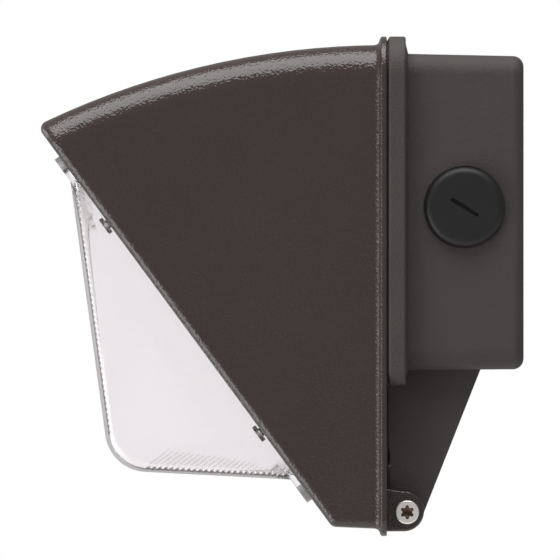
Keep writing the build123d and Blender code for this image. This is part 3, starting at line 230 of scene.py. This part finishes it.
def pale_floor_paint():
    """Matt off-white studio floor, lifted towards white where it is seen, so that it keeps its shadows. It is
    clear from underneath, so that it doesn't hide the light from a low eye."""
    def build(tree):
        tone = clouded(tree, "#E4E3E1", "#E9E8E6", size_mm=400.0, detail=2.0)
        paint = add(tree, "ShaderNodeBsdfPrincipled", {"Base Color": tone, "Roughness": 0.8})
        path = add(tree, "ShaderNodeLightPath")
        eye, gloss = path.outputs["Is Camera Ray"], path.outputs["Is Glossy Ray"]
        seen = add(tree, "ShaderNodeMath", {0: eye, 1: gloss}, operation="MAXIMUM")
        seen = add(tree, "ShaderNodeMath", {0: seen.outputs[0], 1: path.outputs["Is Transmission Ray"]},
                   operation="MAXIMUM")
        glow = add(tree, "ShaderNodeMath", {0: seen.outputs[0], 1: FLOOR_GLOW}, operation="MULTIPLY")
        lift = add(tree, "ShaderNodeEmission", {"Color": tone, "Strength": glow.outputs[0]})
        top = add(tree, "ShaderNodeAddShader", {0: paint.outputs[0], 1: lift.outputs[0]})
        below = add(tree, "ShaderNodeNewGeometry").outputs["Backfacing"]
        clear = add(tree, "ShaderNodeBsdfTransparent")
        return add(tree, "ShaderNodeMixShader", {0: below, 1: top.outputs[0], 2: clear.outputs[0]})
    return material("pale_floor_paint", build)


def set_floor():
    """One square sheet well below the light."""
    sheet = bmesh.new()
    corners = ((-1, -1), (1, -1), (1, 1), (-1, 1))
    sheet.faces.new([sheet.verts.new((FLOOR_HALF * x, FLOOR_HALF * y, FLOOR_Z)) for x, y in corners])
    floor = mesh_object("floor", sheet, pale_floor_paint())


# ---------------------------------------------------------------- materials
def bronze_powder_coat():
    """Dark bronze polyester powder coat, sprayed and baked: satin, with an orange-peel skin that breaks the
    edges of a highlight into specks."""
    def build(tree):
        return add(tree, "ShaderNodeBsdfPrincipled", {
            "Base Color": clouded(tree, "#372D2B", "#3F3432", size_mm=28.0, detail=3.0),
            "Normal": uneven(tree, size_mm=0.85, depth_mm=0.22, strength=1.0, detail=1.0, roughness=0.35),
            "Roughness": 0.14, "IOR": 1.5})
    return material("bronze_powder_coat", build)


def textured_powder_coat():
    """The same bronze in a fine-textured powder: duller, with a sandy grain. The real grains are about 0.3 mm
    and are drawn coarser, so that they show."""
    def build(tree):
        return add(tree, "ShaderNodeBsdfPrincipled", {
            "Base Color": clouded(tree, "#403A39", "#4A4342", size_mm=20.0, detail=3.0),
            "Normal": uneven(tree, size_mm=1.1, depth_mm=0.22, strength=0.9, roughness=0.6),
            "Roughness": 0.68, "IOR": 1.4})
    return material("textured_powder_coat", build)


def moulded(name, low, high, roughness, grain_mm=0.6, depth_mm=0.03, ior=1.5):
    """A moulded plastic or rubber: two near tones in soft clouds, and the mould's spark-eroded grain. The
    real grain is about 0.1 mm and is drawn coarser, so that it shows."""
    def build(tree):
        return add(tree, "ShaderNodeBsdfPrincipled", {
            "Base Color": clouded(tree, low, high, size_mm=9.0, detail=2.0),
            "Normal": uneven(tree, grain_mm, depth_mm, strength=0.8),
            "Roughness": roughness, "IOR": ior})
    return material(name, build)


def metal(name, low, high, roughness):
    """A bare or plated metal: a slight change of tone and a faint worked grain, drawn coarser than the real
    0.1 mm, so that it shows."""
    def build(tree):
        return add(tree, "ShaderNodeBsdfPrincipled", {
            "Base Color": clouded(tree, low, high, size_mm=3.0, detail=3.0),
            "Normal": uneven(tree, size_mm=0.8, depth_mm=0.01, strength=0.6),
            "Metallic": 1.0, "Roughness": roughness})
    return material(name, build)


def turned_stainless():
    """Stainless screw heads turned on a lathe: fine rings round the hinge's axis, a little coarser than the
    real tool marks, and painted shade in each sunk star socket: a dark brown tone inside it."""
    def build(tree):
        place = add(tree, "ShaderNodeTexCoord").outputs["Object"]
        centred = add(tree, "ShaderNodeVectorMath", {0: place, 1: hinge["pos_m"]}, operation="SUBTRACT")
        flat = add(tree, "ShaderNodeVectorMath", {0: centred.outputs[0], 1: (0, 1, 1)}, operation="MULTIPLY")
        radius = add(tree, "ShaderNodeVectorMath", {0: flat.outputs[0]}, operation="LENGTH").outputs["Value"]
        rings = add(tree, "ShaderNodeTexNoise", {"W": radius, "Scale": per_metre(0.35), "Detail": 2.0},
                    noise_dimensions="1D").outputs["Fac"]
        bright = add(tree, "ShaderNodeMix", {"Factor": rings, "A": colour("#DDD8D3"), "B": colour("#F4F1EE")},
                     data_type="RGBA")
        # Painted shade: below the head's face and within the socket's reach, the steel is tinted dark brown
        across = add(tree, "ShaderNodeSeparateXYZ", {0: place})
        depth = add(tree, "ShaderNodeMath", {0: across.outputs["X"]}, operation="ABSOLUTE")
        sunk = add(tree, "ShaderNodeMath", {0: depth.outputs[0], 1: mm(BOLT_FACE_X - BOLT_RECESS_LIP)},
                   operation="LESS_THAN")
        near = add(tree, "ShaderNodeMath", {0: radius, 1: mm(BOLT_RECESS_REACH)}, operation="LESS_THAN")
        recess_shade = add(tree, "ShaderNodeMath", {0: sunk.outputs[0], 1: near.outputs[0]}, operation="MULTIPLY")
        tint = add(tree, "ShaderNodeMix", {"Factor": recess_shade.outputs[0], "A": bright.outputs["Result"],
                                           "B": colour("#6B584C")}, data_type="RGBA")
        bump = add(tree, "ShaderNodeBump", {"Height": rings, "Strength": 0.5, "Distance": mm(0.02)})
        return add(tree, "ShaderNodeBsdfPrincipled", {
            "Base Color": tint.outputs["Result"], "Metallic": 1.0, "Roughness": 0.45,
            "Normal": bump.outputs[0]})
    return material("turned_stainless", build)


def galvanised_sheet():
    """Hot-dip galvanised steel sheet: zinc crystals a few millimetres wide, each with its own sheen."""
    def build(tree):
        place = add(tree, "ShaderNodeTexCoord").outputs["Object"]
        crystals = add(tree, "ShaderNodeTexVoronoi", {"Vector": place, "Scale": per_metre(5.0)})
        shade = add(tree, "ShaderNodeSeparateColor", {"Color": crystals.outputs["Color"]})
        tint = add(tree, "ShaderNodeMix", {"Factor": shade.outputs[0], "A": colour("#A9ABAC"),
                                           "B": colour("#BABCBD")}, data_type="RGBA")
        rough = add(tree, "ShaderNodeMapRange", {"Value": shade.outputs[1], "To Min": 0.4, "To Max": 0.5})
        return add(tree, "ShaderNodeBsdfPrincipled", {
            "Base Color": tint.outputs["Result"], "Metallic": 1.0, "Roughness": rough.outputs[0]})
    return material("galvanised_sheet", build)


def polycarbonate(name, tone, roughness, clearness):
    """Injection-moulded polycarbonate with a slight flow ripple; clearness is what isn't haze."""
    def build(tree):
        return add(tree, "ShaderNodeBsdfPrincipled", {
            "Base Color": colour(tone), "Transmission Weight": clearness,
            "Normal": uneven(tree, size_mm=14.0, depth_mm=0.15, strength=0.5, detail=1.0),
            "Roughness": roughness, "IOR": 1.585})
    return material(name, build)


def led_phosphor():
    """Cast silicone filled with phosphor powder: a warm, finely speckled yellow under a soft gloss."""
    def build(tree):
        return add(tree, "ShaderNodeBsdfPrincipled", {
            "Base Color": clouded(tree, "#E3B83C", "#F2CF62", size_mm=0.5, detail=1.0),
            "Roughness": 0.35, "IOR": 1.41})
    return material("led_phosphor", build)


def dress_cad_nodes():
    """Gives each solid of the frame its finish."""
    finishes = {
        bronze_powder_coat(): ["front_housing"],
        textured_powder_coat(): ["rear_box"],
        # Glass-filled and matt: nearly black, with only a broad dull sheen
        moulded("black_nylon", "#121112", "#171617", 0.5, grain_mm=0.5, ior=1.42):
            ["conduit_plug_right", "conduit_plug_left"],
        # Seals and grommets: soft black lines between the castings
        moulded("black_silicone", "#151515", "#1E1E1E", 0.6, ior=1.41):
            ["box_gasket", "lens_gasket", "cover_gasket", "supply_grommet", "lead_grommet",
             "closing_seal_right", "closing_seal_left", "plug_seal_right", "plug_seal_left"],
        turned_stainless(): ["hinge_bolts"],
        # Plated black, so that the screws sink into the cover's shade
        metal("black_zinc", "#1A1A1B", "#242425", 0.45): ["cover_screws"],
        # Stainless drawn paler than the other screws, as a painted highlight: the small pale dots beside the
        # lens
        metal("stainless_painted_highlight", "#DAD6D2", "#EFECE9", 0.4): ["lens_screws"],
        # Cold-formed and passivated: greyer, with a tighter shine
        metal("stainless_steel", "#B9B4AE", "#CFCAC4", 0.28):
            ["board_screws", "reflector_screws", "driver_screws", "block_screws", "terminal_screws",
             "closing_screw_right", "closing_screw_left", "closing_clip_right", "closing_clip_left"],
        # The green that marks an earth screw, over plated steel
        metal("green_dyed_zinc", "#2B7A43", "#3C9456", 0.35): ["box_ground_screw", "cover_ground_screw"],
        # Unfilled nylon, creamy and slightly waxy
        moulded("natural_nylon", "#DAD6C8", "#E6E2D6", 0.5, ior=1.53): ["hinge_washers"],
        polycarbonate("clear_polycarbonate", "#FCF9FB", 0.06, 0.95): ["lens"],
        # Filled polycarbonate: the bright white that shows through the lens
        moulded("white_reflector", "#EFEEE9", "#F6F5F1", 0.3, ior=1.58): ["reflector"],
        # Printed and cured ink over the board: white with a soft gloss
        moulded("white_solder_mask", "#E4E6E4", "#EDEEEC", 0.4): ["led_board"],
        led_phosphor(): ["led_chips"],
        # Folded mill-finish sheet: pale grey and softly bright
        metal("sheet_aluminium", "#B6B9BC", "#C9CCCE", 0.36): ["driver_case", "driver_lid"],
        # Poured epoxy: black with a dull skin
        moulded("black_potting", "#17181A", "#222326", 0.5): ["driver_potting"],
        # Filled silicone sheet: chalky blue-grey
        moulded("thermal_pad", "#8E979F", "#9AA3AA", 0.8): ["thermal_pad"],
        galvanised_sheet(): ["back_cover"],
        # Moulded polyamide: ivory, half matt
        moulded("terminal_polyamide", "#D9D4C4", "#E4DFD0", 0.45): ["terminal_block", "board_connector"],
        # Stamped and tinned: a soft silver
        metal("tinned_copper", "#BEBBB4", "#D2CFC8", 0.25): ["ground_ring"],
        # Extruded insulation: clean colours with a satin skin
        moulded("red_lead_insulation", "#A31A16", "#B5231D", 0.4): ["board_lead_red"],
        moulded("black_lead_insulation", "#161616", "#202020", 0.4):
            ["board_lead_black", "supply_lead_black"],
        moulded("white_lead_insulation", "#DAD9D5", "#E6E5E1", 0.4): ["supply_lead_white"],
        moulded("green_lead_insulation", "#1B6B33", "#237D3D", 0.4): ["ground_lead"],
    }
    for finish, names in finishes.items():
        for name in names:
            for slot in nodes[name].material_slots:
                slot.material = finish


# ---------------------------------------------------------------- lens
def direction(y, z):
    """A (Y, Z) direction as (v, d) on the diagonal face."""
    return Vector((y * UP[0] + z * UP[1], y * OUT[0] + z * OUT[1]))


def inward(way):
    """The normal of a wall that runs along way, on the side of the diagonal face."""
    normal = Vector((way.y, -way.x))
    return -normal if normal.y > 0 else normal


def ribbed_run(start, end, pitch, rise):
    """Evenly spaced points of a straight run, two to a pitch; the odd ones are moved by rise, never the
    ends."""
    count = max(2, 2 * round((end - start).length / pitch))
    points = []
    for index in range(count + 1):
        point = start.lerp(end, index / count)
        points.append(point + rise if index % 2 else point)
    return points


def bowl_profile(inset, floor_pitch, front_pitch, floor_rib=0.0, front_rib=0.0):
    """The bowl's side profile, inset into its wall, as (v, d) points: along the floor, round the corner and
    up the front. Ribs of a height stand inwards on the two straight walls."""
    floor_way = direction(-cos(BOWL_FLOOR_RISE), sin(BOWL_FLOOR_RISE))
    front_way = direction(-sin(BOWL_FRONT_TILT), cos(BOWL_FRONT_TILT))
    floor_start = Vector((BOWL_LOW_V + inset / floor_way.y, 0.0))
    front_end = Vector((BOWL_TOP_V - inset / abs(front_way.y), 0.0))

    # The two walls' lines meet in the corner, which is then rounded
    gap = front_end - floor_start
    cross = floor_way.x * front_way.y - floor_way.y * front_way.x
    corner = floor_start + floor_way * ((gap.x * front_way.y - gap.y * front_way.x) / cross)
    radius = BOWL_CORNER - inset
    trim = radius * tan(acos(floor_way.dot(front_way)) / 2)
    floor_end, front_start = corner - floor_way * trim, corner + front_way * trim

    points = ribbed_run(floor_start, floor_end, floor_pitch, inward(floor_way) * floor_rib)
    centre = floor_end + inward(floor_way) * radius
    first, last = floor_end - centre, front_start - centre
    for step in range(1, BOWL_CORNER_STEPS):
        share = step / BOWL_CORNER_STEPS
        points.append(centre + (first * (1 - share) + last * share).normalized() * radius)
    return points + ribbed_run(front_start, front_end, front_pitch, inward(front_way) * front_rib)


def across_row(v, height, foot_d, foot_half, side_round):
    """Half of a row across the bowl, from the middle out: its crown, its round and its side, as (x, v, d)."""
    half = foot_half - tan(BOWL_DRAFT) * height
    bend = min(side_round, max(height - foot_d, 0.0) * ROUND_SHARE)
    points = [((half - bend) * index / CROWN_STEPS, v, height) for index in range(CROWN_STEPS)]
    for step in range(ROUND_STEPS + 1):
        angle = pi / 2 * step / ROUND_STEPS
        points.append((half - bend + bend * sin(angle), v, height - bend + bend * cos(angle)))
    low = height - bend
    for step in range(1, SIDE_STEPS + 1):
        d = low + (foot_d - low) * step / SIDE_STEPS
        points.append((foot_half - tan(BOWL_DRAFT) * d, v, d))
    return points


def add_sheet(built, rows):
    """A sheet of faces through rows of half sections, mirrored to both sides."""
    made = []
    for row in rows:
        full = [(-x, v, d) for x, v, d in reversed(row[1:])] + row
        made.append([built.verts.new(face_point(*point)) for point in full])
    for low, high in zip(made, made[1:]):
        for index in range(len(low) - 1):
            built.faces.new((low[index], low[index + 1], high[index + 1], high[index]))
    bmesh.ops.remove_doubles(built, verts=built.verts, dist=mm(WELD))


def flange_edge(v):
    """The flange's half width at v, with its rounded corners."""
    from_end = min(v - FLANGE_LOW, FLANGE_HIGH - v)
    short = max(FLANGE_CORNER - from_end, 0.0)
    return FLANGE_HALF_X - FLANGE_CORNER + (FLANGE_CORNER ** 2 - short ** 2) ** 0.5


def skin_stations():
    """The outer skin's rows as (v, d): the flange's lower end, the bowl, and the flange's upper end."""
    profile = bowl_profile(0.0, SKIN_FLOOR_PITCH, SKIN_FRONT_PITCH)
    bowl = [point for point in profile if point.y > FLANGE_THICK]
    low_v, high_v = bowl[0].x, bowl[-1].x
    foot_low = BOWL_LOW_V + FLANGE_THICK * (low_v - BOWL_LOW_V) / bowl[0].y
    foot_high = BOWL_TOP_V + FLANGE_THICK * (high_v - BOWL_TOP_V) / bowl[-1].y
    turns = [pi / 2 * step / FLANGE_CORNER_STEPS for step in range(FLANGE_CORNER_STEPS + 1)]
    ends = [FLANGE_CORNER * (1 - cos(turn)) for turn in turns]
    lower = [FLANGE_LOW + end for end in ends] + [foot_low]
    upper = [foot_high] + [FLANGE_HIGH - end for end in reversed(ends)]
    return ([(v, FLANGE_THICK) for v in lower] + [(point.x, point.y) for point in bowl]
            + [(v, FLANGE_THICK) for v in upper])


def add_outer_skin(built):
    """The bowl's outside and the flange's front, with the flange's edges turned down to the housing."""
    rows = []
    for v, height in skin_stations():
        row = across_row(v, height, FLANGE_THICK, BOWL_HALF_WIDTH, BOWL_SIDE_ROUND)
        edge = flange_edge(v)
        if row[-1][0] > edge:
            row = [(x * edge / row[-1][0], v, d) for x, _, d in row]
        foot = row[-1][0]
        rows.append(row + [(foot + (edge - foot) * share, v, FLANGE_THICK) for share in (0.5, 1.0)])
    add_sheet(built, rows)
    rim = [edge for edge in built.edges if edge.is_boundary]
    lowered = bmesh.ops.extrude_edge_only(built, edges=rim)["geom"]
    base = [item for item in lowered if isinstance(item, bmesh.types.BMVert)]
    bmesh.ops.translate(built, verts=base, vec=face_point(0, 0, -FLANGE_THICK) - face_point(0, 0, 0))


def mark_satin(built):
    """Gives the second finish to the bowl's rounds and the edges of the flange's ends, where the mould is
    less polished."""
    built.normal_update()
    for face in built.faces:
        v = (face.calc_center_median() - face_point(0, 0, 0)).dot(Vector((0, *UP)))
        past_bowl = not mm(BOWL_LOW_V) < v < mm(BOWL_TOP_V)
        edgewise = abs(face.normal.dot(Vector((0, *OUT)))) < EDGE_FACING
        rounded = ROUND_FACING[0] < abs(face.normal.x) < ROUND_FACING[1]
        if rounded or (past_bowl and edgewise):
            face.material_index = 1


def add_inner_skin(built):
    """The bowl's inside with its ribs, joined to the flange's back."""
    inner = bowl_profile(BOWL_WALL, RIB_PITCH, RIB_PITCH, FLOOR_RIB, FRONT_RIB)
    add_sheet(built, [across_row(point.x, max(point.y, 0.0), 0.0, BOWL_HALF_WIDTH - BOWL_WALL,
                                 BOWL_INNER_ROUND) for point in inner])
    bmesh.ops.dissolve_degenerate(built, edges=built.edges, dist=mm(SLIVER))
    loops = [edge for edge in built.edges if edge.is_boundary]
    bmesh.ops.triangle_fill(built, use_beauty=True, edges=loops)


def add_turned(built, place, profile):
    """A closed turned form about the diagonal face's normal at place (x, v); profile holds (radius, d), its
    two ends on the axis."""
    rings = []
    for radius, d in profile:
        turns = [2 * pi * step / HOLE_SEGMENTS for step in range(HOLE_SEGMENTS if radius else 1)]
        rings.append([built.verts.new(face_point(place[0] + radius * cos(a), place[1] + radius * sin(a), d))
                      for a in turns])
    for low, high in zip(rings, rings[1:]):
        for step in range(HOLE_SEGMENTS):
            after = (step + 1) % HOLE_SEGMENTS
            if len(low) == 1:
                built.faces.new((low[0], high[after], high[step]))
            elif len(high) == 1:
                built.faces.new((low[step], low[after], high[0]))
            else:
                built.faces.new((low[step], low[after], high[after], high[step]))


def screw_hole_cutter(finish):
    """The four stepped holes of the lens's screws, as one form to take out of it."""
    start, end = LENS_HOLE_ENDS
    profile = [(0, start), (LENS_HOLE_RADIUS, start), (LENS_HOLE_RADIUS, LENS_SEAT),
               (LENS_SEAT_RADIUS, LENS_SEAT), (LENS_SEAT_RADIUS, end), (0, end)]
    built = bmesh.new()
    for x in (-LENS_SCREW_X, LENS_SCREW_X):
        for v in (-LENS_SCREW_V, LENS_SCREW_V):
            add_turned(built, (x, v), profile)
    return mesh_object("lens_holes", built, finish)


def cut(body, cutter):
    """Takes a cutter's form out of a body, for good."""
    step = body.modifiers.new("cut", "BOOLEAN")
    step.operation, step.solver, step.object = "DIFFERENCE", "EXACT", cutter
    shaped = body.evaluated_get(bpy.context.evaluated_depsgraph_get())
    old, body.data = body.data, bpy.data.meshes.new_from_object(shaped)
    body.modifiers.clear()
    bpy.data.meshes.remove(old)
    bpy.data.objects.remove(cutter)


def prismatic_lens():
    """The drop lens: a clear bowl on a screwed flange, with ribs moulded across the inside of its floor and
    front."""
    built = bmesh.new()
    add_outer_skin(built)
    mark_satin(built)
    add_inner_skin(built)
    clear = bpy.data.materials["clear_polycarbonate"]
    lens = mesh_object("prismatic_lens", built, clear, smooth_angle=radians(25))
    lens.data.materials.append(polycarbonate("satin_polycarbonate", "#D8D4D6", 0.25, 0.45))
    cut(lens, screw_hole_cutter(clear))
    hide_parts("lens")
    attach(lens, "door")


# ---------------------------------------------------------------- small pieces on the rear casting
def gap_shade_strips():
    """Thin dull black strips on the gussets' front edges, filling the gap behind the door's rim: painted
    shade for that gap.
    """
    built = bmesh.new()
    low, high = STRIP_Z
    size = mm(GUSSET_X[1] - GUSSET_X[0] - 2 * STRIP_INSET, STRIP_THICK, high - low)
    for side in (-1, 1):
        middle = mm(side * sum(GUSSET_X) / 2, GUSSET_FRONT - STRIP_THICK / 2, (low + high) / 2)
        for vertex in bmesh.ops.create_cube(built, size=1.0)["verts"]:
            vertex.co = middle + Vector(c * s for c, s in zip(vertex.co, size))
    bmesh.ops.bevel(built, geom=built.edges[:], offset=mm(STRIP_ROUND), segments=2, affect="EDGES")
    # Painted shade: a dull black sheet that darkens the gap between the gussets and the door's rim
    painted_gap_shade = moulded("dull_black_gap_shade", "#1C1B1A", "#282625", 0.85, grain_mm=0.4, depth_mm=0.1)
    strips = mesh_object("gusset_gap_shade_strips", built, painted_gap_shade)
    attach(strips, "rear")


# ---------------------------------------------------------------- making it
bpy.context.scene.view_settings.view_transform = "Standard"
set_camera()
set_world()
set_lights()
dress_cad_nodes()
set_floor()
prismatic_lens()
gap_shade_strips()
